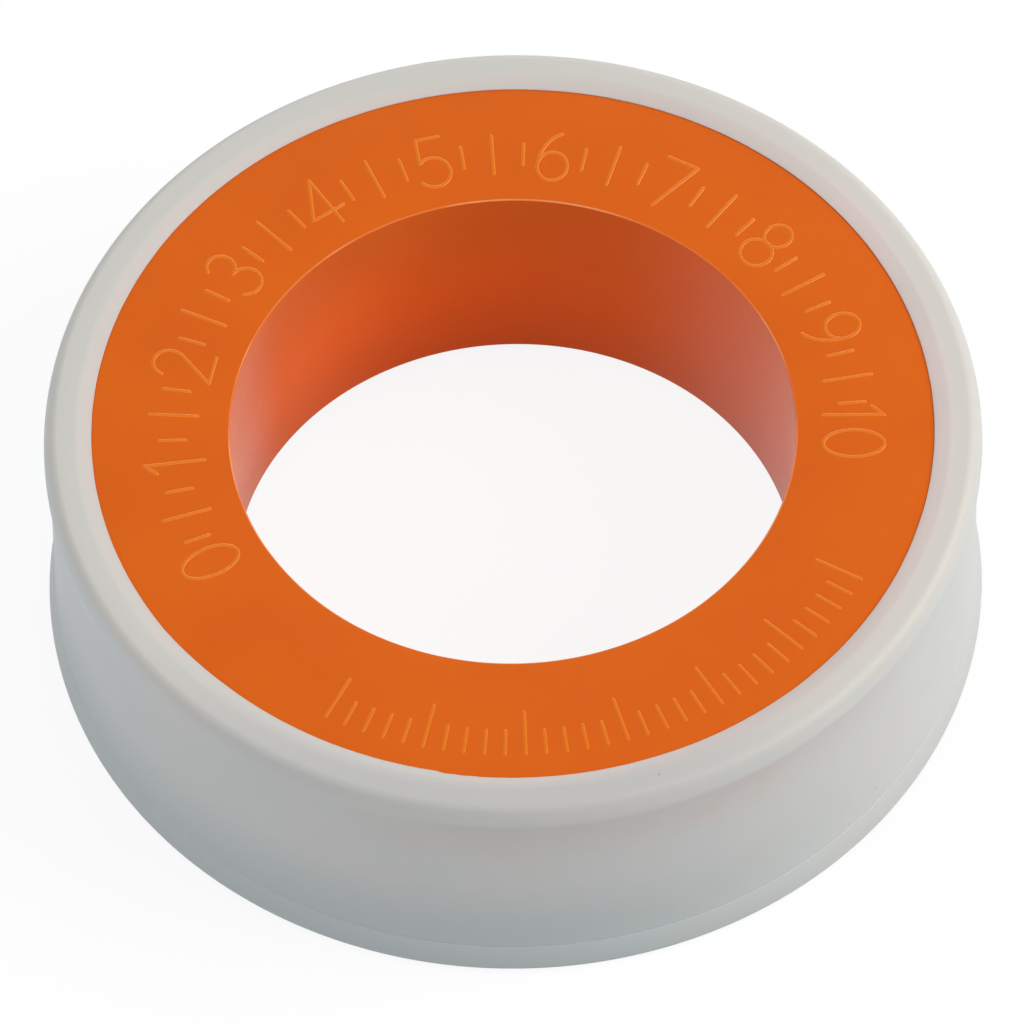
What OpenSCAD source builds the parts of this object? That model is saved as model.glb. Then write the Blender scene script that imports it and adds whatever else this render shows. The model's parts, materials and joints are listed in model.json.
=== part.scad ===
// Thread seal tape roll: tape wound on a spool core that turns in a two-part round case.
// Millimetres, +Z along the bore, origin at the middle of the underside.

/* [Tape] */
// Width of the tape
tape_w = 12; // [6:0.5:25]
// Thickness of one layer of tape
tape_t = 0.075; // [0.05:0.005:0.15]
// Length of tape on the full roll, in metres
tape_len = 10; // [4:0.5:20]
// Direction of the tape's free end, in degrees from +X
tape_end_angle = -62; // [-180:1:180]

/* [Spool core] */
// Diameter of the bore
bore_d = 30.6; // [20:0.2:50]
// Wall of the hub
hub_wall = 1.5; // [1:0.1:4]
// Thickness of the flange
flange_t = 1.1; // [0.8:0.1:3]
// Reach of the flange past the full winding
flange_over = 0.75; // [0.3:0.05:2]
// Width of the bevel round the flange's top edge
flange_bevel_w = 0.75; // [0.3:0.05:1.5]
// Height of that bevel
flange_bevel_h = 0.55; // [0.2:0.05:0.75]
// Rounding of the bore's upper edge, at the flange's face
bore_round = 0.1; // [0.05:0.05:0.6]
// Rounding of the bore's lower edge
bore_foot_round = 0.3; // [0.1:0.05:0.6]
// Break round the hub's lower outside edge
hub_break = 0.2; // [0.1:0.05:0.4]

/* [Case base] */
// Thickness of the floor
floor_t = 1.2; // [0.8:0.1:2]
// Depth of the seat that the hub turns in
seat_depth = 0.3; // [0.1:0.05:0.5]
// Reach of the floor under the hub
seat_ledge = 0.7; // [0.4:0.05:0.95]
// Height of the foot, up to the seam
foot_h = 2; // [1.8:0.05:4]
// Reach of the foot past the cover's lower edge
foot_proud = 0.3; // [0.1:0.05:0.8]
// Rounding of the foot's lower edge
foot_round = 0.5; // [0.2:0.05:0.8]
// Height of the spigot above the seam
spigot_h = 2; // [1.2:0.1:4]
// Wall of the spigot
spigot_t = 0.6; // [0.4:0.05:0.75]
// Fillet between the floor and the spigot
spigot_root = 0.3; // [0.1:0.05:0.5]
// Height of the gripping bead round the spigot
grip_bead = 0.1; // [0.02:0.01:0.12]

/* [Cover ring] */
// Wall of the cover
cover_wall = 1.2; // [0.8:0.1:2.5]
// Reach of the top rim past the wall
rim_proud = 0.25; // [0.2:0.05:0.6]
// Radius of the rim's bulging side
rim_side_r = 2.5; // [1.5:0.1:3]
// Rounding of the rim's top edge
rim_round = 0.55; // [0.3:0.05:0.8]
// Lead-in round the cover's lower inside edge
lead_in = 0.25; // [0.1:0.05:0.5]
// Height over which the wall flares out to its lower edge
skirt_h = 1.6; // [0.8:0.1:2.5]
// Radius of that flare
skirt_r = 16; // [10:0.5:40]
// Thickness of the lip outside its bevel
lip_t = 0.25; // [0.2:0.05:0.6]
// Width of the bevel round the lip's inner edge
lip_bevel_w = 0.55; // [0.2:0.05:0.8]
// Height of that bevel
lip_bevel_h = 0.1; // [0.05:0.01:0.15]
// Reach of the lip over the flat face of the flange
lip_over = 0.09; // [0.02:0.01:0.5]

/* [Fits] */
// Clearance of the tape's edges to the floor and to the flange
tape_clear = 0.15; // [0.05:0.05:0.5]
// Clearance of the winding on the hub
wind_clear = 0.05; // [0.02:0.01:0.2]
// Clearance of the hub in its seat
seat_clear = 0.1; // [0.05:0.05:0.4]
// Clearance of the flange inside the cover
turn_clear = 0.3; // [0.2:0.05:0.8]
// Clearance of the cover on the spigot
slide_clear = 0.15; // [0.13:0.01:0.3]
// Clearance of the lip above the flange
lip_clear = 0.1; // [0.05:0.01:0.3]
// Width of the break along both edges of the seam
seam_break = 0.12; // [0.05:0.01:0.2]

/* [Hidden] */
$fn = 96;
// Overlap of a cutting shape past the face that it cuts
over = 1;

// Radii, worked outwards from the bore
bore_r = bore_d / 2;
hub_r = bore_r + hub_wall;
wind_in_r = hub_r + wind_clear;
wind_section = tape_len * 1000 * tape_t;
wind_r = sqrt(wind_in_r * wind_in_r + wind_section / PI);
flange_r = wind_r + flange_over;
face_r = flange_r - flange_bevel_w;
lip_r = face_r - lip_over;
cover_in_r = flange_r + turn_clear;
wall_r = cover_in_r + cover_wall;
rim_r = wall_r + rim_proud;
seam_r = wall_r + skirt_r - sqrt(skirt_r * skirt_r - skirt_h * skirt_h);
foot_r = seam_r + foot_proud;
spigot_r = cover_in_r - slide_clear;
spigot_in_r = spigot_r - spigot_t;
base_hole_r = hub_r - seat_ledge;

// Heights, worked upwards from the underside
seat_z = floor_t - seat_depth;
tape_z = floor_t + tape_clear;
flange_z = tape_z + tape_w + tape_clear;
core_top_z = flange_z + flange_t;
lip_z = core_top_z + lip_clear;
cover_top_z = lip_z + lip_t;
spigot_top_z = foot_h + spigot_h;

// The cover's outside, from its top corner. Its edge's round, its side and the flare below are three
// tangent arcs that meet on the whole-number slopes 3:4 and 7:24, so their joins are exact.
rim_span = rim_side_r - rim_round;
rim_edge_x = 0.8 * rim_span - rim_side_r;
rim_meet_z = (0.6 - 1) * rim_round;
rim_side_z = -rim_round - 0.6 * rim_span;
flare_r = rim_proud / (1 - 0.96) - rim_side_r;
flare_end_z = rim_side_z - 0.28 * rim_side_r;
flare_z = flare_end_z - 0.28 * flare_r;
skirt_z = foot_h + skirt_h - cover_top_z;

// Waste outside a rounded corner that points to +X and +Y, with the corner at the origin
module corner_waste(r) {
    difference() {
        translate([-r, -r]) square(r + over);
        translate([-r, -r]) circle(r);
    }
}

// Waste outside a 45 degree break of a corner that points to +X and +Y
module break_waste(w) {
    polygon([[-w - over, over], [over, -w - over], [over, over]]);
}

module half_disc(r) {
    intersection() {
        circle(r);
        translate([-r, 0]) square([2 * r, r]);
    }
}

module foot_section() {
    difference() {
        translate([base_hole_r, 0]) square([foot_r - base_hole_r, foot_h]);
        translate([foot_r, 0]) mirror([0, 1]) corner_waste(foot_round);
        polygon([
            [foot_r, foot_round],
            [foot_r + over, foot_round],
            [foot_r + over, foot_h + over],
            [seam_r, foot_h + over],
            [seam_r, foot_h]
        ]);
        translate([seam_r, foot_h]) break_waste(seam_break);
    }
}

module spigot_section() {
    grip_round = spigot_t / 2;
    grip_z = foot_h + spigot_h / 2;
    difference() {
        translate([spigot_in_r, floor_t]) square([spigot_t, spigot_top_z - floor_t]);
        translate([spigot_r, spigot_top_z]) corner_waste(grip_round);
    }
    translate([spigot_r + grip_bead - grip_round, grip_z]) circle(grip_round);
    difference() {
        translate([spigot_in_r - spigot_root, floor_t]) square(spigot_root);
        translate([spigot_in_r - spigot_root, floor_t + spigot_root]) circle(spigot_root);
    }
}

// Floor with a round seat for the hub, a flared foot outside and a spigot for the cover
module case_base() {
    color("whitesmoke") rotate_extrude() {
        difference() {
            foot_section();
            translate([0, seat_z]) square([hub_r + seat_clear, foot_h]);
            translate([0, floor_t]) square([spigot_in_r, foot_h]);
            translate([base_hole_r, 0]) rotate(180) break_waste(seam_break);
        }
        spigot_section();
    }
}

// Plain hub with one flange, whose bevelled edge runs under the cover's lip
module spool_core() {
    color("darkorange") rotate_extrude() difference() {
        union() {
            translate([bore_r, seat_z]) square([hub_wall, core_top_z - seat_z]);
            polygon([
                [bore_r, flange_z],
                [flange_r, flange_z],
                [flange_r, core_top_z - flange_bevel_h],
                [face_r, core_top_z],
                [bore_r, core_top_z]
            ]);
        }
        translate([bore_r, core_top_z]) mirror([1, 0]) corner_waste(bore_round);
        translate([bore_r, seat_z]) rotate(180) corner_waste(bore_foot_round);
        translate([hub_r, seat_z]) mirror([0, 1]) break_waste(hub_break);
    }
}

// The outer layer is a spiral of two half turns over a plain core, and its free end is one layer high
module tape_winding() {
    color("white") translate([0, 0, tape_z]) rotate(tape_end_angle) linear_extrude(tape_w) difference() {
        union() {
            half_disc(wind_r);
            translate([-tape_t / 2, 0]) rotate(180) half_disc(wind_r - tape_t / 2);
        }
        circle(wind_in_r);
    }
}

module cover_cavity() {
    bevel_slope = flange_bevel_h / flange_bevel_w;
    polygon([
        [0, foot_h],
        [cover_in_r + lead_in, foot_h],
        [cover_in_r, foot_h + lead_in],
        [cover_in_r, lip_z - bevel_slope * (cover_in_r - face_r)],
        [face_r, lip_z],
        [0, lip_z]
    ]);
}

// One stage of the waste round the cover, between two heights, from x outwards
module stage_waste(x, z0, z1) {
    translate([x, z0]) square([2 * over - x, z1 - z0]);
}

// Waste round the cover's outside, with the rim's top corner at the origin
module cover_waste() {
    difference() {
        stage_waste(rim_edge_x, rim_meet_z, over);
        translate([rim_edge_x, -rim_round]) circle(rim_round);
    }
    difference() {
        stage_waste(rim_edge_x, flare_end_z, rim_meet_z);
        translate([-rim_side_r, rim_side_z]) circle(rim_side_r);
    }
    intersection() {
        stage_waste(-rim_proud, flare_z, flare_end_z);
        translate([flare_r - rim_proud, flare_z]) circle(flare_r);
    }
    stage_waste(-rim_proud, skirt_z, flare_z);
    intersection() {
        stage_waste(-rim_proud, skirt_z - skirt_h - over, skirt_z);
        translate([skirt_r - rim_proud, skirt_z]) circle(skirt_r);
    }
}

// Waisted ring that drops over the spigot, with a thin bevelled lip over the edge of the flange
module cover_ring() {
    lip_slope = lip_bevel_h / lip_bevel_w;
    color("white") rotate_extrude() difference() {
        translate([lip_r, foot_h]) square([rim_r + over - lip_r, cover_top_z - foot_h]);
        cover_cavity();
        translate([rim_r, cover_top_z]) cover_waste();
        translate([seam_r, foot_h]) mirror([0, 1]) break_waste(seam_break);
        translate([lip_r + lip_bevel_w, cover_top_z]) polygon([
            [-lip_bevel_w - over, -(lip_bevel_w + over) * lip_slope],
            [over, over * lip_slope],
            [-lip_bevel_w - over, over * lip_slope]
        ]);
    }
}

case_base();
spool_core();
tape_winding();
cover_ring();
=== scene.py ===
import json
import math
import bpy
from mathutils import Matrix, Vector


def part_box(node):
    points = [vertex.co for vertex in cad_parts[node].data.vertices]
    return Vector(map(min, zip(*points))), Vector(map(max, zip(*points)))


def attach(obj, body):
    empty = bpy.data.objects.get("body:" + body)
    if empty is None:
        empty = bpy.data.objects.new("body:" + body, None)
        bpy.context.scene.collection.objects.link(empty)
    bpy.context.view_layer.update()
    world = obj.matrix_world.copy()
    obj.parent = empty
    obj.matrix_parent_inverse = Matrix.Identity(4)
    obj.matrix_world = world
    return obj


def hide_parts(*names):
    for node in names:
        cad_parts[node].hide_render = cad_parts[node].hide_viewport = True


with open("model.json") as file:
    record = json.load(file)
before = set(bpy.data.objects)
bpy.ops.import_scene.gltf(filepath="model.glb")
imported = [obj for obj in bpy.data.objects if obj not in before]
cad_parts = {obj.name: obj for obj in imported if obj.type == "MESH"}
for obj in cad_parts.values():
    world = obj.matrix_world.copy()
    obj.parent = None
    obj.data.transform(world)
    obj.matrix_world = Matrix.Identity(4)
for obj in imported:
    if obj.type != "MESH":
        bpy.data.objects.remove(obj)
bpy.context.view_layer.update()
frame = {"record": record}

from types import SimpleNamespace

import bpy
from mathutils import Matrix, Vector, noise

mm = 0.001
turnSteps = 288                    # vertices round every turned ring
roundingStep = math.radians(15)    # largest bend between two points of a small rounding
smoothAngle = math.radians(40)     # edges that bend more than this stay sharp
ringWeld = 0.002 * mm              # vertices of a ring nearer than this become one
pureWhite = (1, 1, 1, 1)
scene = bpy.context.scene

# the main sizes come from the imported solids
_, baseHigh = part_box("case_base")
coreLow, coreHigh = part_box("spool_core")
tapeLow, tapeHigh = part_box("tape_winding")
coverLow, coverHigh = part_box("cover_ring")
boreMount = next(m for m in frame["record"]["mounts"] if m["name"] == "spool_bore")

footR, spigotTop = baseHigh.x, baseHigh.z
flangeR, seatZ, coreTop = coreHigh.x, coreLow.z, coreHigh.z
windR, tapeBottom, tapeTop = max(tapeHigh.x, -tapeLow.x), tapeLow.z, tapeHigh.z
rimR, seamZ, coverTop = coverHigh.x, coverLow.z, coverHigh.z
boreR = boreMount["dims"]["r_mm"] * mm


# tools for turned and drawn pieces

def deselectAll():
    if bpy.context.object and bpy.context.object.mode != "OBJECT":
        bpy.ops.object.mode_set(mode="OBJECT")
    bpy.ops.object.select_all(action="DESELECT")


def selectOnly(pieces):
    deselectAll()
    for piece in pieces:
        piece.select_set(True)
    bpy.context.view_layer.objects.active = pieces[0]


def applyPlace():
    bpy.ops.object.transform_apply(location=True, rotation=True, scale=True)


def arcPoints(centreR, centreZ, radius, start, end, parts):
    # points of an arc in a section, angles in degrees from the outward direction
    found = []
    for k in range(parts + 1):
        a = math.radians(start + (end - start) * k / parts)
        found.append((centreR + radius * math.cos(a), centreZ + radius * math.sin(a), 0))
    return found


def roundedSection(corners):
    # corners are (radius, height, rounding); each rounding becomes a short arc
    points = []
    for i, (r, z, rounding) in enumerate(corners):
        here = Vector((r, z))
        if rounding <= 0:
            points.append((r, z))
            continue
        back = (Vector(corners[i - 1][:2]) - here).normalized()
        ahead = (Vector(corners[(i + 1) % len(corners)][:2]) - here).normalized()
        opening = back.angle(ahead)
        cut = rounding / math.tan(opening / 2)
        centre = here + (back + ahead).normalized() * (rounding / math.sin(opening / 2))
        first, last = here + back * cut - centre, here + ahead * cut - centre
        parts = max(2, math.ceil((math.pi - opening) / roundingStep))
        for k in range(parts + 1):
            spoke = first.lerp(last, k / parts).normalized() * rounding
            points.append(tuple(centre + spoke))
    return points


def turnRing(name, section):
    # a circle is extruded along the section and closed on itself
    deselectAll()
    lastR, lastZ = section[0]
    bpy.ops.mesh.primitive_circle_add(vertices=turnSteps, radius=lastR, fill_type="NOTHING",
                                      location=(0, 0, 0))
    ring = bpy.context.object
    ring.name = ring.data.name = name
    bpy.ops.object.mode_set(mode="EDIT")
    bpy.ops.mesh.select_all(action="SELECT")
    bpy.ops.transform.translate(value=(0, 0, lastZ))
    for r, z in section[1:] + section[:1]:
        bpy.ops.mesh.extrude_region_move(TRANSFORM_OT_translate={"value": (0, 0, z - lastZ)})
        bpy.ops.transform.resize(value=(r / lastR, r / lastR, 1), center_override=(0, 0, z))
        lastR, lastZ = r, z
    bpy.ops.mesh.select_all(action="SELECT")
    bpy.ops.mesh.remove_doubles(threshold=ringWeld)
    bpy.ops.mesh.normals_make_consistent(inside=False)
    bpy.ops.object.mode_set(mode="OBJECT")
    bpy.ops.object.shade_smooth_by_angle(angle=smoothAngle)
    return ring


def dress(piece, body, node, finish):
    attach(piece, body)
    if node:
        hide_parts(node)
    piece.data.materials.clear()
    piece.data.materials.append(finish)


# shader wiring: sums on wires add Math nodes

class Wire:
    def __init__(self, tree, socket=None):
        self.tree, self.socket = tree, socket

    def add(self, kind, settings=None, inputs=None, out=0):
        node = self.tree.nodes.new(kind)
        for key, value in (settings or {}).items():
            setattr(node, key, value)
        for key, value in (inputs or {}).items():
            if isinstance(value, Wire):
                self.tree.links.new(value.socket, node.inputs[key])
            else:
                node.inputs[key].default_value = value
        return Wire(self.tree, node.outputs[out])

    def other(self, out):
        # another output of the same node
        return Wire(self.tree, self.socket.node.outputs[out])

    def plug(self, node, socket):
        self.tree.links.new(self.socket, node.inputs[socket])

    def sum(self, operation, first, second):
        return self.add("ShaderNodeMath", {"operation": operation}, {0: first, 1: second})

    def __add__(self, other):
        return self.sum("ADD", self, other)

    def __radd__(self, other):
        return self.sum("ADD", other, self)

    def __sub__(self, other):
        return self.sum("SUBTRACT", self, other)

    def __rsub__(self, other):
        return self.sum("SUBTRACT", other, self)

    def __mul__(self, other):
        return self.sum("MULTIPLY", self, other)

    def __rmul__(self, other):
        return self.sum("MULTIPLY", other, self)

    def __truediv__(self, other):
        return self.sum("DIVIDE", self, other)

    def __rtruediv__(self, other):
        return self.sum("DIVIDE", other, self)

    def __pow__(self, other):
        return self.sum("POWER", self, other)

    def __rpow__(self, other):
        return self.sum("POWER", other, self)

    def fade(self, low, high):
        # 0 below low, 1 above high, smooth between; low may be the larger
        return self.add("ShaderNodeMapRange", {"interpolation_type": "SMOOTHSTEP"},
                        {"Value": self, "From Min": low, "From Max": high})

    def fadeFrom(self, start, span):
        # the same, with both ends counted from a size of the roll
        return self.fade(start + span[0], start + span[1])

    def mixColour(self, first, second):
        return self.add("ShaderNodeMix", {"data_type": "RGBA"}, {0: self, 6: first, 7: second}, 2)


def rgb(red, green, blue):
    # 0-255 screen values to linear light
    def linear(v):
        v /= 255
        return v / 12.92 if v <= 0.04045 else ((v + 0.055) / 1.055) ** 2.4
    return (linear(red), linear(green), linear(blue), 1)


def newFinish(name, **fixed):
    made = bpy.data.materials.new(name)
    made.use_nodes = True
    shader = made.node_tree.nodes["Principled BSDF"]
    for key, value in fixed.items():
        shader.inputs[key.replace("_", " ")].default_value = value
    return made, Wire(made.node_tree), shader


def objectPlace(paint):
    return paint.add("ShaderNodeTexCoord", out="Object")


def roundCoords(paint):
    # where a point lies round the roll's axis
    place = objectPlace(paint)
    x = paint.add("ShaderNodeSeparateXYZ", None, {0: place}, "X")
    y, z = x.other("Y"), x.other("Z")
    return SimpleNamespace(place=place, x=x, y=y, z=z, radius=(x * x + y * y) ** 0.5)


def facing(at, way):
    # 1 on the side of the roll that lies this way from its axis, -1 on the far side
    return (way[0] * at.x + way[1] * at.y) / at.radius


def noiseOver(place, scale, detail):
    return place.add("ShaderNodeTexNoise", None, {"Vector": place, "Scale": scale, "Detail": detail})


def addBump(shader, height, strength, depth):
    bump = height.add("ShaderNodeBump", None, {"Strength": strength, "Distance": depth, "Height": height})
    bump.plug(shader, "Normal")


# cover ring: waisted wall, round rim and a thin lip over the flange

cover = {
    "rimProud": 0.25 * mm,
    "wall": 1.2 * mm,
    "rimSideR": 1.6 * mm,            # bulging side of the rim
    "rimRound": 0.55 * mm,           # its top edge
    "sideTop": 37, "sideFoot": 10,   # degrees over which the side bulges
    "skirtHeight": 1.6 * mm,         # lower part of the wall, flared a little
    "skirtR": 16 * mm,
    "lipGap": 0.015 * mm,            # the lip all but rests on the flange
    "lipEdge": 0.05 * mm,
    "lipOver": 0.09 * mm,
    "lipBevelWidth": 0.85 * mm,
    "bevelWidth": 0.75 * mm,         # the flange's bevel, which the lip follows
    "bevelHeight": 0.55 * mm,
    "leadIn": 0.25 * mm,
    "seamBreak": 0.045 * mm,
    # small roundings, from the lower inside edge round to the seam
    "leadFootRound": 0.03 * mm, "leadRound": 0.08 * mm, "innerRound": 0.1 * mm, "underRound": 0.05 * mm,
    "lipFootRound": 0.015 * mm, "lipTopRound": 0.03 * mm, "faceRound": 0.8 * mm, "seamRound": 0.02 * mm,
    "edgeSteps": 8, "sideSteps": 16, "flareSteps": 8, "skirtSteps": 6,
    "lipWave": 0.012 * mm,           # moulded lip edge, not quite true
    "waveScale": 900,
    "waveReach": 0.3 * mm, "waveDepth": 0.02 * mm,    # part of the lip that follows its edge
    "flashReach": 0.11 * mm,         # thin flash along the front left of the lip
    "flashFrom": 214, "flashTo": 259.3, "flashGrows": 12,
    "nicks": [(261.0, 0.05 * mm, 1.7), (263.6, 0.035 * mm, 0.9)],   # angle, reach, half width
}
wallR = rimR - cover["rimProud"]
coverInR = wallR - cover["wall"]
faceR = flangeR - cover["bevelWidth"]
lipR = faceR - cover["lipOver"]
lipZ = coreTop + cover["lipGap"]
seamR = wallR + cover["skirtR"] - math.sqrt(cover["skirtR"] ** 2 - cover["skirtHeight"] ** 2)

whiteLook = {
    "colour": rgb(206, 204, 200), "cool": rgb(204, 205, 203), "cloudSpan": (0.3, 0.7),
    # painted light: cooler on the left, the tint of a bluish light from that side
    "left": rgb(201, 205, 205), "leftSpan": (-0.7, -0.98),
    "top": rgb(207, 202, 194), "topRise": (-0.75 * mm, -0.2 * mm),     # upper face, yellower; painted light and shade: lighter on the lamp's side, darker on the left
    "topLeftShade": rgb(200, 197, 190), "litSpan": (-0.3, 0.8),
    "footTone": rgb(202, 202, 199), "footDrop": (0.3 * mm, -0.1 * mm),  # the base is a shade cooler
    "low": rgb(188, 194, 193), "lowDrop": (6.5 * mm, 0.2 * mm),        # darker towards the foot, on the front and left, away from the lamp: painted shade
    "lowWay": (-0.6, -0.8), "lowSpan": (0.0, 0.8),                     # front and left, where it is held
    "edge": rgb(196, 194, 188), "edgeShare": 0.7,                      # painted shade on the rim's shoulder, dimming its highlight on the lit side
    "edgeRise": (-0.95 * mm, -0.45 * mm), "edgeReach": (-0.76 * mm, -0.46 * mm),
    "shade": rgb(188, 186, 183), "shadeShare": 0.95,                   # painted shade on the front of the rim
    "shadeRise": (-1.35 * mm, -0.15 * mm), "shadeReach": (0.13 * mm, 0.63 * mm),
    "shadeWay": (-0.09, -0.99), "shadeSpan": (0.6, 0.99),
    "glow": rgb(210, 193, 186),      # painted glow: the spool's colour showing through thin plastic
    "glowRight": rgb(228, 206, 199),                                   # brighter on the lamp's side
    "rightWay": (0.98, 0.2), "rightSpan": (0.55, 0.95),
    "streakSpan": (0.38, 0.62),
    "lipRise": (-0.75 * mm, -0.25 * mm), "lipReach": (1.03 * mm, 0.18 * mm),
    "lipSpread": 0.6 * mm,           # the lip's glow reaches further on the lit side
    "lipShare": 0.25, "lipLit": 0.25, "lipStreak": 0.25,
    "flashStart": (-2.6, -2.4), "flashEnd": (-1.73, -1.76), "flashHides": 0.8,    # radians round the axis
    "wallRise": (-5.55 * mm, -3.35 * mm), "wallDrop": (-0.75 * mm, -1.55 * mm),
    "wallReach": (-0.51 * mm, -0.11 * mm),
    "wallWay": (0.31, -0.95), "wallSpan": (0.7, 0.98),                 # the painted glow shows most at the front
    "wallShare": 0.15, "wallStreak": 0.35,
    "speck": rgb(150, 148, 142), "speckShare": 0.55, "speckSize": (0.026, 0.014), "speckScale": 210.0,
    "cloudScale": 160.0, "cloudDetail": 3.0, "grainScale": 2600.0, "grainDetail": 2.0,
    "roughness": 0.47, "roughCloud": 0.12, "roughGrain": 0.1,
    "bump": 0.12, "bumpDepth": 0.04 * mm, "bumpGrain": 0.5,
    "subsurface": 0.25, "subsurfaceDepth": 0.8 * mm, "subsurfaceTone": (1.0, 0.85, 0.7),
    "gloss": 0.33,
}


def whiteTone(look, at, cloud, lit, right):
    # the plastic's colour by height and side, with painted light and shade: cooler on the left, the upper
    # face lighter on the lamp's side, darker towards the foot at the front left, on the rim's shoulder and at
    # the rim's front
    tone = cloud.fade(*look["cloudSpan"]).mixColour(look["colour"], look["cool"])
    # painted light: cooler on the left side
    tone = (at.x / at.radius).fade(*look["leftSpan"]).mixColour(tone, look["left"])
    # painted light and shade: the upper face is lighter on the lamp's side and darker on the left
    top = lit.mixColour(look["topLeftShade"], look["top"])
    tone = at.z.fadeFrom(coverTop, look["topRise"]).mixColour(tone, top)
    tone = at.z.fadeFrom(seamZ, look["footDrop"]).mixColour(tone, look["footTone"])
    # painted shade: darker towards the foot on the front and left, away from the lamp
    low = at.z.fadeFrom(seamZ, look["lowDrop"]) * facing(at, look["lowWay"]).fade(*look["lowSpan"])
    tone = low.mixColour(tone, look["low"])
    # painted shade on the rim's shoulder, on the lit side but not on the right
    shoulderShade = at.z.fadeFrom(coverTop, look["edgeRise"]) * at.radius.fadeFrom(rimR, look["edgeReach"])
    tone = (shoulderShade * look["edgeShare"] * lit * (1 - right)).mixColour(tone, look["edge"])
    # painted shade: the front of the rim is darker
    frontShade = facing(at, look["shadeWay"]).fade(*look["shadeSpan"])
    frontShade = frontShade * at.z.fadeFrom(coverTop, look["shadeRise"])
    frontShade = frontShade * at.radius.fadeFrom(lipR, look["shadeReach"])
    return (look["shadeShare"] * frontShade).mixColour(tone, look["shade"])


def whiteGlow(look, at, cloud, lit):
    # how much painted glow of the spool's colour shows, through the lip and through the wall
    streak = cloud.fade(*look["streakSpan"])
    turn = at.y.sum("ARCTAN2", at.y, at.x)
    flash = turn.fade(*look["flashStart"]) * turn.fade(*look["flashEnd"])     # the flash hides it
    reach = (look["lipReach"][0] + look["lipSpread"] * lit, look["lipReach"][1])
    lip = at.radius.fadeFrom(lipR, reach) * at.z.fadeFrom(coverTop, look["lipRise"])
    lip = lip * (1 - look["flashHides"] * flash)
    lip = lip * (look["lipShare"] + look["lipLit"] * lit + look["lipStreak"] * streak)
    wall = at.z.fadeFrom(coverTop, look["wallRise"]) * at.z.fadeFrom(coverTop, look["wallDrop"])
    wall = wall * at.radius.fadeFrom(wallR, look["wallReach"])
    wall = wall * facing(at, look["wallWay"]).fade(*look["wallSpan"])
    return lip + wall * (look["wallShare"] + look["wallStreak"] * streak)


def makeWhiteFinish():
    look = whiteLook
    made, paint, shader = newFinish("casePlastic", Subsurface_Weight=look["subsurface"],
                                    Subsurface_Scale=look["subsurfaceDepth"],
                                    Subsurface_Radius=look["subsurfaceTone"],
                                    Specular_IOR_Level=look["gloss"])
    at = roundCoords(paint)
    cloud = noiseOver(at.place, look["cloudScale"], look["cloudDetail"])
    grain = noiseOver(at.place, look["grainScale"], look["grainDetail"])
    dots = paint.add("ShaderNodeTexVoronoi", None, {"Vector": at.place, "Scale": look["speckScale"]})
    lit = (at.x / at.radius).fade(*look["litSpan"])
    right = facing(at, look["rightWay"]).fade(*look["rightSpan"])
    tone = whiteTone(look, at, cloud, lit, right)
    # painted glow of the spool's colour, brighter on the lamp's side
    glow = right.mixColour(look["glow"], look["glowRight"])
    tone = whiteGlow(look, at, cloud, lit).mixColour(tone, glow)
    speck = look["speckShare"] * dots.fade(*look["speckSize"])
    speck.mixColour(tone, look["speck"]).plug(shader, "Base Color")
    rough = look["roughness"] + look["roughCloud"] * (cloud - 0.5) + look["roughGrain"] * (grain - 0.5)
    rough.plug(shader, "Roughness")
    addBump(shader, grain * look["bumpGrain"] + cloud, look["bump"], look["bumpDepth"])
    return made


def makeCover():
    sideR, rimRound, skirtR = cover["rimSideR"], cover["rimRound"], cover["skirtR"]
    upper, lower = math.radians(cover["sideTop"]), math.radians(cover["sideFoot"])
    sideMidR, edgeMidZ = rimR - sideR, coverTop - rimRound
    edgeMidR = sideMidR + (sideR - rimRound) * math.cos(upper)
    sideMidZ = edgeMidZ - (sideR - rimRound) * math.sin(upper)
    flareR = cover["rimProud"] / (1 - math.cos(lower)) - sideR
    flareZ = sideMidZ - (sideR + flareR) * math.sin(lower)
    slope = cover["bevelHeight"] / cover["bevelWidth"]
    gap = cover["seamBreak"]
    skirtTop = seamZ + cover["skirtHeight"]
    skirtTurn = math.degrees(math.asin((cover["skirtHeight"] - gap) / skirtR))
    corners = [
        (coverInR + cover["leadIn"], seamZ, cover["leadFootRound"]),
        (coverInR, seamZ + cover["leadIn"], cover["leadRound"]),
        (coverInR, lipZ - slope * (coverInR - faceR), cover["innerRound"]),
        (faceR, lipZ, cover["underRound"]),
        (lipR, lipZ, cover["lipFootRound"]),
        (lipR, lipZ + cover["lipEdge"], cover["lipTopRound"]),
        (lipR + cover["lipBevelWidth"], coverTop, cover["faceRound"]),
    ]
    corners += arcPoints(edgeMidR, edgeMidZ, rimRound, 90, cover["sideTop"], cover["edgeSteps"])
    corners += arcPoints(sideMidR, sideMidZ, sideR, cover["sideTop"], -cover["sideFoot"],
                         cover["sideSteps"])[1:]
    corners += arcPoints(wallR + flareR, flareZ, flareR, 180 - cover["sideFoot"], 180,
                         cover["flareSteps"])[1:]
    corners += arcPoints(wallR + skirtR, skirtTop, skirtR, 180, 180 + skirtTurn, cover["skirtSteps"])
    corners += [(seamR - gap, seamZ, cover["seamRound"])]
    return turnRing("cover_ring_visual", roundedSection(corners))


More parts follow.
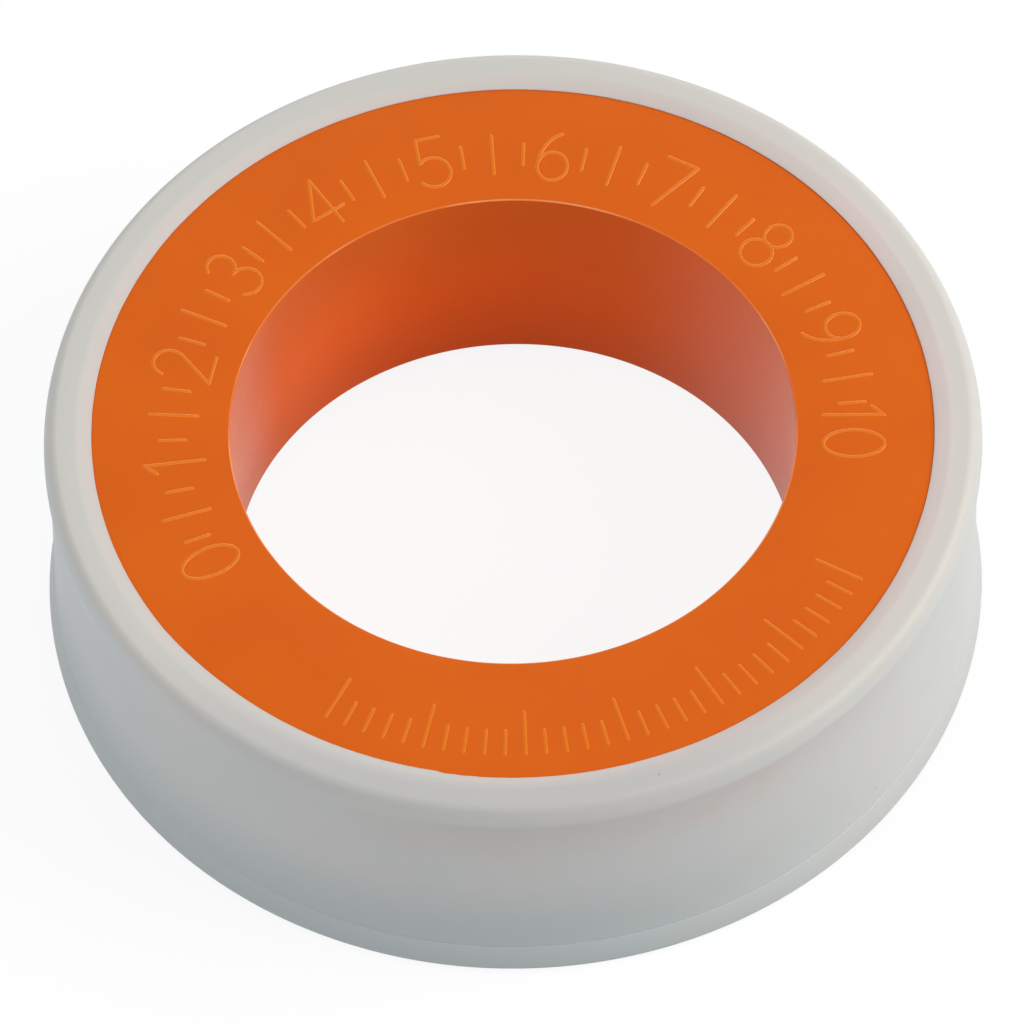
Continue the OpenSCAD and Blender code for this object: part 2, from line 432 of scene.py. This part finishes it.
def roughenLip(ring):
    # the lip's edge waves a little, with flash and nicks that reach inwards
    for v in ring.data.vertices:
        r = math.hypot(v.co.x, v.co.y)
        if r > lipR + cover["waveReach"] or v.co.z < lipZ - cover["waveDepth"]:
            continue
        turn = math.degrees(math.atan2(v.co.y, v.co.x)) % 360
        reach = cover["lipWave"] * noise.noise(Vector((v.co.x, v.co.y, 0)) * cover["waveScale"])
        if cover["flashFrom"] < turn < cover["flashTo"]:
            reach += cover["flashReach"] * min(1, (turn - cover["flashFrom"]) / cover["flashGrows"])
        for place, depth, half in cover["nicks"]:
            reach += depth * max(0, 1 - abs(turn - place) / half)
        weight = 1 - min(1, max(0, (r - lipR) / cover["waveReach"]))
        v.co.x *= 1 - reach * weight / r
        v.co.y *= 1 - reach * weight / r
    ring.data.update()


whiteFinish = makeWhiteFinish()
coverRing = makeCover()
roughenLip(coverRing)
dress(coverRing, "cover", "cover_ring", whiteFinish)
print("cover ring turned")


# spool core: plain hub with one bevelled flange

core = {
    "hubWall": 1.5 * mm,
    "flangeThick": 1.1 * mm,
    "boreRound": 0.1 * mm,
    "boreFootRound": 0.3 * mm,
    "hubBreak": 0.2 * mm,
    "flangeFillet": 0.12 * mm,
    "edgeRound": 0.06 * mm,
}
hubR = boreR + core["hubWall"]
flangeZ = coreTop - core["flangeThick"]

orangeLook = {
    "colour": rgb(217, 98, 19), "deep": rgb(212, 93, 18), "cloudSpan": (0.25, 0.75),
    "insideReach": (0.16 * mm, 0.04 * mm),                             # from the bore's wall
    # painted light in the bore: a stronger orange at the back and deeper down, another tone towards the right
    "bore": rgb(255, 110, 18), "boreDrop": (-0.6 * mm, -9.6 * mm), "backSpan": (0.2, 0.9),
    "boreSide": rgb(226, 98, 18), "sideSpan": (-0.35, 0.75),
    "edge": rgb(236, 150, 96), "edgeReach": (0.1 * mm, 0.07 * mm),     # painted highlight along the bore's edge
    "edgeRise": (-0.07 * mm, -0.04 * mm), "edgeShare": 0.3, "edgeCloud": 0.7, "edgeSpan": (0.42, 0.58),
    "slope": rgb(228, 121, 20), "slopeSpan": (1.1, 0.92),              # painted light: the marks' sloping sides are lighter, as thin plastic lets light through
    "cloudScale": 130.0, "cloudDetail": 4.0, "grainScale": 3400.0, "grainDetail": 2.0,
    "roughness": 0.34, "roughCloud": 0.1, "roughGrain": 0.12, "markPolish": 0.05,
    "boreRough": 0.16, "dullFrom": (-0.95, -0.8), "dullTo": (0.75, 0.35),   # the back of the bore is duller
    "gloss": 0.14, "markGloss": 0.32,
    "bump": 0.1, "markBump": 0.03, "bumpDepth": 0.03 * mm, "bumpGrain": 0.6,
}


def makeOrangeFinish(name, raised):
    look = orangeLook
    made, paint, shader = newFinish(name, Specular_IOR_Level=look["markGloss" if raised else "gloss"])
    at = roundCoords(paint)
    cloud = noiseOver(at.place, look["cloudScale"], look["cloudDetail"])
    grain = noiseOver(at.place, look["grainScale"], look["grainDetail"])
    tone = cloud.fade(*look["cloudSpan"]).mixColour(look["colour"], look["deep"])
    rough = look["roughness"] + look["roughCloud"] * (cloud - 0.5) + look["roughGrain"] * (grain - 0.5)
    if raised:
        normal = paint.add("ShaderNodeNewGeometry", out="Normal")
        level = paint.add("ShaderNodeSeparateXYZ", None, {0: normal}, "Z")
        # painted light: lighter on the marks' sloping sides
        tone = level.fade(*look["slopeSpan"]).mixColour(tone, look["slope"])
        rough = rough - look["markPolish"]
    else:
        # painted light in the bore: stronger orange at the back and lower, another tone towards the right
        inside = at.radius.fadeFrom(boreR, look["insideReach"])
        back = (at.y / at.radius).fade(*look["backSpan"])
        side = at.x / at.radius
        low = at.z.fadeFrom(coreTop, look["boreDrop"])
        tone = (inside * back * low).mixColour(tone, look["bore"])
        tone = (inside * side.fade(*look["sideSpan"])).mixColour(tone, look["boreSide"])
        # painted highlight along the bore's edge, broken up by the cloud
        edgeHighlight = at.radius.fadeFrom(boreR, look["edgeReach"]) * at.z.fadeFrom(coreTop, look["edgeRise"])
        edgeHighlight = edgeHighlight * (look["edgeShare"] + look["edgeCloud"] * cloud.fade(*look["edgeSpan"]))
        tone = edgeHighlight.mixColour(tone, look["edge"])
        rough = rough + look["boreRough"] * inside * side.fade(*look["dullFrom"]) * side.fade(*look["dullTo"])
    tone.plug(shader, "Base Color")
    rough.plug(shader, "Roughness")
    strength = look["markBump" if raised else "bump"]
    addBump(shader, grain * look["bumpGrain"] + cloud, strength, look["bumpDepth"])
    return made


def makeCore():
    edge = core["edgeRound"]
    corners = [
        (boreR, seatZ, core["boreFootRound"]),
        (hubR, seatZ, core["hubBreak"]),
        (hubR, flangeZ, core["flangeFillet"]),
        (flangeR, flangeZ, edge),
        (flangeR, coreTop - cover["bevelHeight"], edge),
        (faceR, coreTop, edge),
        (boreR, coreTop, core["boreRound"]),
    ]
    return turnRing("spool_core_visual", roundedSection(corners))


spoolCore = makeCore()
dress(spoolCore, "spool", "spool_core", makeOrangeFinish("corePlastic", False))
print("spool core turned")


# case base: floor with a seat for the hub, flared foot and gripping spigot

base = {
    "floorThick": 1.2 * mm,
    "seatClear": 0.1 * mm,
    "ledge": 0.7 * mm,
    "footRound": 0.5 * mm,
    "spigotThick": 0.6 * mm,
    "spigotRoot": 0.3 * mm,
    "slideClear": 0.15 * mm,
    "gripBead": 0.1 * mm,
    "fineRound": 0.03 * mm,          # broken edges of the hole and the seam
    "ledgeRound": 0.05 * mm, "seatRound": 0.04 * mm,
    "spigotTopRound": 0.08 * mm, "spigotFootRound": 0.06 * mm,
    "arcSteps": 8,
}
baseHoleR = hubR - base["ledge"]


def makeBase():
    gap, fine = cover["seamBreak"], base["fineRound"]
    floorZ = base["floorThick"]
    seatR = hubR + base["seatClear"]
    spigotR = coverInR - base["slideClear"]
    spigotInR = spigotR - base["spigotThick"]
    gripR = base["spigotThick"] / 2
    gripMidR = spigotR + base["gripBead"] - gripR
    gripLean = math.degrees(math.acos((spigotR - gripMidR) / gripR))
    gripZ = (seamZ + spigotTop) / 2
    footRound = base["footRound"]
    taper = (footR - seamR) / (seamZ - footRound)
    corners = [
        (baseHoleR + gap, 0, fine),
        (baseHoleR, gap, fine),
        (baseHoleR, seatZ, base["ledgeRound"]),
        (seatR, seatZ, base["seatRound"]),
        (seatR, floorZ, base["ledgeRound"]),
        (spigotInR, floorZ, base["spigotRoot"]),
        (spigotInR, spigotTop, base["spigotTopRound"]),
        (spigotR, spigotTop, gripR),
    ]
    corners += arcPoints(gripMidR, gripZ, gripR, gripLean, -gripLean, base["arcSteps"])
    corners += [
        (spigotR, seamZ, base["spigotFootRound"]),
        (seamR - gap, seamZ, fine),
        (seamR + taper * gap, seamZ - gap, fine),
    ]
    corners += arcPoints(footR - footRound, footRound, footRound, 0, -90, base["arcSteps"])
    return turnRing("case_base_visual", roundedSection(corners))


caseBase = makeBase()
dress(caseBase, "base", "case_base", whiteFinish)
print("case base turned")


# tape: a film wound in half turns about two centres, so each whole turn lies one layer further out

tape = {
    "width": 12 * mm,
    "length": 10.0,
    "layer": 0.075 * mm,
    "film": 0.06 * mm,
    "windClear": 0.05 * mm,
    "endAngle": -62,                 # direction of the free end
    "innerSteps": 24, "outerSteps": 48, "outerHalves": 6,
    "tail": 4.5 * mm, "tailRadius": 40 * mm, "tailSteps": 12,    # the free end springs off a little
}

filmLook = {
    "colour": rgb(232, 232, 229),
    "shade": rgb(219, 221, 220), "shadeSpan": (0.35, 0.65), "shadeFibre": 0.6, "shadeCloud": 0.4,
    "fibreStretch": (60.0, 60.0, 2400.0),    # fine lines along the tape
    "cloudScale": 240.0, "detail": 3.0,
    "roughness": 0.5, "roughFibre": 0.14,
    "bump": 0.35, "bumpDepth": 0.05 * mm, "bumpCloud": 0.6,
    "subsurface": 0.2, "subsurfaceDepth": 0.5 * mm, "subsurfaceTone": (1.0, 0.95, 0.9),
    "gloss": 0.35,
}


def makeFilmFinish():
    look = filmLook
    made, paint, shader = newFinish("tapeFilm", Subsurface_Weight=look["subsurface"],
                                    Subsurface_Scale=look["subsurfaceDepth"],
                                    Subsurface_Radius=look["subsurfaceTone"],
                                    Specular_IOR_Level=look["gloss"])
    place = objectPlace(paint)
    drawn = paint.add("ShaderNodeMapping", None, {"Vector": place, "Scale": look["fibreStretch"]})
    fibre = noiseOver(drawn, 1.0, look["detail"])
    cloud = noiseOver(place, look["cloudScale"], look["detail"])
    shade = (fibre * look["shadeFibre"] + cloud * look["shadeCloud"]).fade(*look["shadeSpan"])
    shade.mixColour(look["colour"], look["shade"]).plug(shader, "Base Color")
    (look["roughness"] + look["roughFibre"] * (fibre - 0.5)).plug(shader, "Roughness")
    addBump(shader, fibre + cloud * look["bumpCloud"], look["bump"], look["bumpDepth"])
    return made


def makeTape():
    layer = tape["layer"]
    halves = round((windR - hubR - tape["windClear"]) / layer * 2)
    startR = windR - layer / 2 - halves * layer / 2
    deselectAll()
    bpy.ops.mesh.primitive_plane_add(size=tape["width"], location=(0, 0, (tapeBottom + tapeTop) / 2),
                                     rotation=(math.pi / 2, 0, 0))
    film = bpy.context.object
    film.name = film.data.name = "tape_winding_visual"
    applyPlace()
    bpy.ops.object.mode_set(mode="EDIT")
    bpy.ops.mesh.select_all(action="DESELECT")
    bpy.ops.object.mode_set(mode="OBJECT")
    for v in film.data.vertices:
        v.select = v.co.x < 0
    bpy.ops.object.mode_set(mode="EDIT")
    bpy.ops.mesh.delete(type="VERT")                 # one upright edge is left, and it is spun
    bpy.ops.mesh.select_all(action="SELECT")
    bpy.ops.transform.translate(value=(startR - tape["width"] / 2, 0, 0))
    for k in range(halves):
        steps = tape["outerSteps"] if k >= halves - tape["outerHalves"] else tape["innerSteps"]
        centre = layer / 2 if k % 2 else 0
        bpy.ops.mesh.spin(steps=steps, angle=-math.pi, center=(centre, 0, 0), axis=(0, 0, 1))
    side = 1 if halves % 2 == 0 else -1
    endX = side * (startR + halves * layer / 2)
    bpy.ops.mesh.spin(steps=tape["tailSteps"], angle=-tape["tail"] / tape["tailRadius"],
                      center=(endX - side * tape["tailRadius"], 0, 0), axis=(0, 0, 1))
    bpy.ops.object.mode_set(mode="OBJECT")
    freeEnd = next(v for v in film.data.vertices if v.select)
    nowAt = math.degrees(math.atan2(freeEnd.co.y, freeEnd.co.x))
    film.rotation_euler = (0, 0, math.radians(tape["endAngle"] - nowAt))
    applyPlace()
    thick = film.modifiers.new("film", "SOLIDIFY")
    thick.thickness, thick.offset = tape["film"], 0
    bpy.ops.object.modifier_apply(modifier=thick.name)
    bpy.ops.object.shade_smooth_by_angle(angle=smoothAngle)
    return film


tapeFilm = makeTape()
dress(tapeFilm, "spool", "tape_winding", makeFilmFinish())
print("tape wound, %d faces" % len(tapeFilm.data.polygons))


# raised marks on the spool's face: a dial of plain numbers, and a short ruler at the front

marks = {
    "height": 0.036 * mm, "sink": 0.046 * mm, "wide": 0.26 * mm,     # low ridges, rounded on top
    "sides": 8, "endTurns": (30, 55, 75, 85), "weld": 0.001 * mm,
    # radii are counted from the bore's wall
    "numbers": range(11), "numberTall": 3.3 * mm, "numberFoot": 1.45 * mm, "digitStep": 0.62,
    "dialFrom": 207, "dialTo": -1,
    "dialTicks": [(0.25, 2.4 * mm, 3.8 * mm), (0.5, 1.8 * mm, 4.4 * mm), (0.75, 2.4 * mm, 3.8 * mm)],
    "rulerFrom": 241, "rulerTo": 331, "rulerParts": 30, "rulerGroup": 5,
    "rulerFoot": 5.9 * mm, "rulerShort": 1.5 * mm, "rulerLong": 2.7 * mm, "rulerHeight": 0.022 * mm,
}
bowStep = 12     # degrees between two points of a figure's bow


def bow(x, y, wide, tall, start, end):
    # part of an ellipse, angles in degrees
    parts = math.ceil(abs(end - start) / bowStep)
    turns = [math.radians(start + (end - start) * k / parts) for k in range(parts + 1)]
    return [(x + wide * math.cos(a), y + tall * math.sin(a)) for a in turns]


# plain figures, one unit high on a foot line, each a few strokes
six = bow(0.25, 0.29, 0.5, 0.71, 108, 180) + bow(0, 0.29, 0.25, 0.29, 180, 540)[1:]
figures = {
    "0": [bow(0, 0.5, 0.27, 0.5, 90, 450)],
    "1": [[(-0.13, 0.8), (0.05, 1)], [(0.05, 1), (0.05, 0)]],
    "2": [bow(0, 0.73, 0.25, 0.27, 165, -35) + [(-0.26, 0)], [(-0.26, 0), (0.27, 0)]],
    "3": [bow(-0.01, 0.76, 0.23, 0.24, 150, -90), bow(-0.01, 0.26, 0.27, 0.26, 90, -150)],
    "4": [[(0.1, 1), (-0.3, 0.28)], [(-0.3, 0.28), (0.3, 0.28)], [(0.1, 1), (0.1, 0)]],
    "5": [[(0.22, 1), (-0.17, 1)], [(-0.17, 1), (-0.21, 0.52)], bow(-0.02, 0.3, 0.28, 0.3, 132, -145)],
    "6": [six],
    "7": [[(-0.27, 1), (0.27, 1)], [(0.27, 1), (-0.07, 0)]],
    "8": [bow(0, 0.76, 0.22, 0.24, 90, 450), bow(0, 0.27, 0.27, 0.27, 90, 450)],
    "9": [[(-x, 1 - y) for x, y in six]],
}


def roundEnd(points):
    # a few more points past the end, each thinner than the last
    ahead = (points[-1][0] - points[-2][0]).normalized() * marks["wide"] / 2
    turns = [math.radians(a) for a in marks["endTurns"]]
    return points + [(points[-1][0] + ahead * math.sin(a), math.cos(a)) for a in turns]


def makeStroke(path, height):
    # a line drawn on the face, given a round section, pressed flat and partly sunk
    closed = math.dist(path[0], path[-1]) < marks["weld"]
    drawn = bpy.data.curves.new("stroke", "CURVE")
    drawn.dimensions = "3D"
    drawn.bevel_depth = marks["wide"] / 2
    drawn.bevel_resolution = marks["sides"]
    drawn.use_fill_caps = True
    line = drawn.splines.new("POLY")
    line.use_cyclic_u = closed
    points = [(Vector(p), 1) for p in path]
    if closed:
        points.pop()
    else:
        points = roundEnd(points[::-1])[::-1]
        points = roundEnd(points)
    line.points.add(len(points) - 1)
    for point, (place, share) in zip(line.points, points):
        point.co, point.radius = (place.x, place.y, 0, 1), share
    stroke = bpy.data.objects.new("stroke", drawn)
    scene.collection.objects.link(stroke)
    selectOnly([stroke])
    bpy.ops.object.convert(target="MESH")
    bpy.ops.object.mode_set(mode="EDIT")
    bpy.ops.mesh.select_all(action="SELECT")
    bpy.ops.mesh.remove_doubles(threshold=marks["weld"])
    flat = (height + marks["sink"]) / (marks["wide"] / 2)
    bpy.ops.transform.resize(value=(1, 1, flat), center_override=(0, 0, 0))
    bpy.ops.transform.translate(value=(0, 0, coreTop - marks["sink"]))
    bpy.ops.object.mode_set(mode="OBJECT")
    return bpy.context.object


def makeTick(inner, outer, height):
    return makeStroke([(boreR + inner, 0), (boreR + outer, 0)], height)


def makeNumber(value):
    tall, digits = marks["numberTall"], str(value)
    foot = boreR + marks["numberFoot"]
    strokes = []
    for k, digit in enumerate(digits):
        across = (k - (len(digits) - 1) / 2) * marks["digitStep"]
        for path in figures[digit]:
            placed = [((x + across) * tall, foot + y * tall) for x, y in path]
            strokes.append(makeStroke(placed, marks["height"]))
    return strokes


def turnTo(piece, angle):
    piece.rotation_euler = (0, 0, math.radians(angle))
    selectOnly([piece])
    applyPlace()
    return piece


def copyOf(piece):
    twin = piece.copy()
    twin.data = piece.data.copy()
    scene.collection.objects.link(twin)
    return twin


def makeDial():
    made = []
    gaps = len(marks["numbers"]) - 1
    step = (marks["dialTo"] - marks["dialFrom"]) / gaps
    for k, value in enumerate(marks["numbers"]):
        made += [turnTo(stroke, marks["dialFrom"] + step * k - 90) for stroke in makeNumber(value)]
    for share, inner, outer in marks["dialTicks"]:
        tick = makeTick(inner, outer, marks["height"])
        made += [turnTo(copyOf(tick), marks["dialFrom"] + step * (k + share)) for k in range(gaps)]
        bpy.data.objects.remove(tick)
    return made


def makeRuler():
    made = []
    step = (marks["rulerTo"] - marks["rulerFrom"]) / marks["rulerParts"]
    for k in range(marks["rulerParts"] + 1):
        reach = marks["rulerShort"] if k % marks["rulerGroup"] else marks["rulerLong"]
        tick = makeTick(marks["rulerFoot"] - reach, marks["rulerFoot"], marks["rulerHeight"])
        made.append(turnTo(tick, marks["rulerFrom"] + step * k))
    return made


def makeMarks():
    selectOnly(makeDial() + makeRuler())
    bpy.ops.object.join()
    joined = bpy.context.object
    joined.name = joined.data.name = "spool_marks"
    bpy.ops.object.mode_set(mode="EDIT")
    bpy.ops.mesh.select_all(action="SELECT")
    bpy.ops.mesh.normals_make_consistent(inside=False)
    bpy.ops.object.mode_set(mode="OBJECT")
    bpy.ops.object.shade_smooth_by_angle(angle=smoothAngle)
    return joined


spoolMarks = makeMarks()
dress(spoolMarks, "spool", None, makeOrangeFinish("raisedMarks", True))
print("marks raised, %d faces" % len(spoolMarks.data.polygons))


# stage, light and camera

floorLook = {
    "spread": 120,                   # times the opening under the base
    "tuck": 0.09 * mm, "drop": 0.005 * mm,
    "bounce": 0.39,                  # share of light that it gives back to the roll
    "glow": 0.88,                    # the rest of what the camera sees takes the roll's shadow
}


def shownRays(paint):
    # 1 for rays that see the stage itself, straight, mirrored or through a piece
    straight = paint.add("ShaderNodeLightPath", out="Is Camera Ray")
    shown = straight.sum("MAXIMUM", straight, straight.other("Is Glossy Ray"))
    return straight, shown.sum("MAXIMUM", shown, straight.other("Is Transmission Ray"))


def makeFloorFinish():
    made = bpy.data.materials.new("paleFloor")
    made.use_nodes = True
    made.cycles.emission_sampling = "NONE"
    tree = made.node_tree
    tree.nodes.remove(tree.nodes["Principled BSDF"])
    paint = Wire(tree)
    _, seen = shownRays(paint)
    paper = paint.add("ShaderNodeBsdfDiffuse", None, {"Color": pureWhite})
    glow = paint.add("ShaderNodeEmission", None, {"Color": pureWhite, "Strength": 1.0})
    bounce = paint.add("ShaderNodeBsdfDiffuse", None, {"Color": (floorLook["bounce"],) * 3 + (1,)})
    shown = paint.add("ShaderNodeMixShader", None, {0: floorLook["glow"], 1: paper, 2: glow})
    both = paint.add("ShaderNodeMixShader", None, {0: seen, 1: bounce, 2: shown})
    below = paint.add("ShaderNodeBsdfTransparent")
    back = paint.add("ShaderNodeNewGeometry", out="Backfacing")
    final = paint.add("ShaderNodeMixShader", None, {0: back, 1: both, 2: below})
    final.plug(tree.nodes["Material Output"], "Surface")
    return made


def makeFloor():
    # open under the base's flat underside, so that it is lit in views from below
    middle = (0, 0, -floorLook["drop"])
    openR = footR - base["footRound"] - floorLook["tuck"]
    deselectAll()
    bpy.ops.mesh.primitive_circle_add(vertices=turnSteps, radius=openR, fill_type="NOTHING", location=middle)
    floor = bpy.context.object
    floor.name = "floor"
    bpy.ops.object.mode_set(mode="EDIT")
    bpy.ops.mesh.select_all(action="SELECT")
    bpy.ops.mesh.extrude_region_move()
    bpy.ops.transform.resize(value=(floorLook["spread"],) * 3, center_override=middle)
    bpy.ops.mesh.primitive_circle_add(vertices=turnSteps, radius=baseHoleR + floorLook["tuck"],
                                      fill_type="NGON", location=middle)
    bpy.ops.mesh.select_all(action="SELECT")
    bpy.ops.mesh.normals_make_consistent(inside=False)
    bpy.ops.object.mode_set(mode="OBJECT")
    floor.data.materials.append(makeFloorFinish())


makeFloor()
print("floor laid")

skyLook = {
    "ambient": (0.93, 0.97, 1.0, 1), "ambientStrength": 0.5,
    "high": 0.12, "highSpan": (0.35, 0.7),    # overhead, what gloss mirrors is darker
}


def makeSky():
    world = bpy.data.worlds.new("studio")
    scene.world = world
    world.use_nodes = True
    tree = world.node_tree
    paint = Wire(tree)
    straight, seen = shownRays(paint)
    aim = paint.add("ShaderNodeTexCoord", out="Generated")
    up = paint.add("ShaderNodeSeparateXYZ", None, {0: aim}, "Z")
    backdrop = 1 - (1 - skyLook["high"]) * up.fade(*skyLook["highSpan"]) * (1 - straight)
    shown = paint.add("ShaderNodeBackground", None, {"Color": pureWhite, "Strength": backdrop})
    ambient = paint.add("ShaderNodeBackground", None,
                        {"Color": skyLook["ambient"], "Strength": skyLook["ambientStrength"]})
    both = paint.add("ShaderNodeMixShader", None, {0: seen, 1: ambient, 2: shown})
    both.plug(tree.nodes["World Output"], "Surface")


makeSky()

# angles round and above the roll in degrees, distances and sizes in metres
lamps = {
    "rightBox": {"around": -5, "above": 34, "away": 0.9, "size": 0.75,
                 "watts": 6.28, "colour": (1.0, 0.99, 0.97)},
    "leftFill": {"around": 217, "above": 34, "away": 0.7, "size": 0.5,
                 "watts": 1.36, "colour": (0.95, 0.95, 1.0)},
    "backFill": {"around": 90, "above": 20, "away": 0.7, "size": 0.5,
                 "watts": 0.85, "colour": (1.0, 1.0, 1.0)},
    "topBox": {"around": 0, "above": 90, "away": 0.6, "size": 0.22,
               "watts": 0.1, "colour": (1.0, 0.985, 0.96)},
}


def makeLamp(name, look):
    a, e = math.radians(look["around"]), math.radians(look["above"])
    aim = Vector((math.cos(a) * math.cos(e), math.sin(a) * math.cos(e), math.sin(e)))
    deselectAll()
    bpy.ops.object.light_add(type="AREA", location=aim * look["away"])
    lamp = bpy.context.object
    lamp.name = name
    lamp.rotation_euler = aim.to_track_quat("Z", "Y").to_euler()
    lamp.data.shape, lamp.data.size = "DISK", look["size"]
    lamp.data.energy, lamp.data.color = look["watts"], look["colour"]
    lamp.visible_camera = False


for lampName, lampLook in lamps.items():
    makeLamp(lampName, lampLook)

cameraPlace = {
    "height": 54.981, "roll": -1.0657,        # degrees
    "distance": 912 * mm, "right": 0.045 * mm, "up": 4.472 * mm,
    "focalPixels": 16887, "picture": 1024, "sensor": 36,
    "clip": (0.01, 20),
}


def makeCamera():
    h, roll = math.radians(cameraPlace["height"]), math.radians(cameraPlace["roll"])
    back = Vector((0, -math.cos(h), math.sin(h)))
    right = Vector((1, 0, 0))
    up = back.cross(right)
    across = right * math.cos(roll) + up * math.sin(roll)
    upward = up * math.cos(roll) - right * math.sin(roll)
    place = Vector((0, 0, coreTop)) + back * cameraPlace["distance"]
    place -= across * cameraPlace["right"] + upward * cameraPlace["up"]
    deselectAll()
    bpy.ops.object.camera_add(location=place)
    camera = bpy.context.object
    camera.matrix_world = Matrix.Translation(place) @ Matrix((across, upward, back)).transposed().to_4x4()
    camera.data.sensor_width = cameraPlace["sensor"]
    camera.data.lens = cameraPlace["focalPixels"] / cameraPlace["picture"] * cameraPlace["sensor"]
    camera.data.clip_start, camera.data.clip_end = cameraPlace["clip"]
    scene.camera = camera


makeCamera()
scene.view_settings.view_transform = "Standard"
print("stage, light and camera set")
